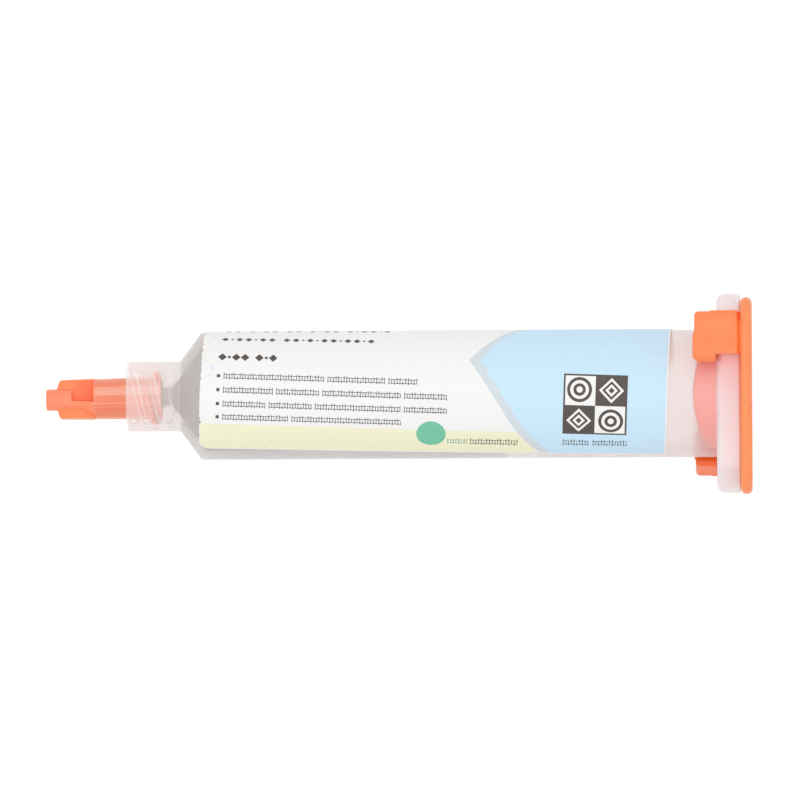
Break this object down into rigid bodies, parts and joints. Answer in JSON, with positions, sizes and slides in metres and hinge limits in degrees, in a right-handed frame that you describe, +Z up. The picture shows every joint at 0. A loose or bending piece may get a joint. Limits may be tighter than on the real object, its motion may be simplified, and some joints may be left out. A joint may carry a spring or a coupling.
{
  "type": "solder paste syringe",
  "caption": "Flanged dispensing syringe barrel filled with solder paste, with a label, a hidden piston, a screw-on nozzle cap and a twist-lock end cap.",
  "frame": {"origin": "bottom centre of the syringe as it lies: on the surface it lies on, below the middle of its length", "axes": "+X along the barrel towards the end cap, +Z up out of the side that faces the reader, +Y across the flange's long way"},
  "size_m": [0.1032, 0.0292, 0.0244],
  "materials": {
    "barrel_plastic": "milky translucent moulded polypropylene, satin",
    "label_film": "printed white film, satin",
    "solder_paste": "thick grey metal paste, dull",
    "piston_plastic": "white moulded polyethylene",
    "cap_plastic": "orange moulded polyethylene, satin, slightly translucent"
  },
  "bodies": {
    "barrel": {"barrel": "barrel_plastic", "label": "label_film", "solder_paste": "solder_paste"},
    "piston": {"piston": "piston_plastic"},
    "tip_cap": {"tip_cap": "cap_plastic"},
    "end_cap": {"end_cap": "cap_plastic"}
  },
  "joints": [
    {"name": "tip_cap_pull", "type": "slide", "parent": "barrel", "child": "tip_cap", "axis": [-1, 0, 0], "range_m": [0, 0.012]},
    {"name": "end_cap_twist", "type": "hinge", "parent": "barrel", "child": "end_cap", "pos_m": [0.04993, 0, 0.0122], "axis": [1, 0, 0], "range_deg": [0, 40]},
    {"name": "piston_slide", "type": "slide", "parent": "barrel", "child": "piston", "axis": [-1, 0, 0], "range_m": [0, 0.0434], "deforming": ["solder_paste"]}
  ]
}
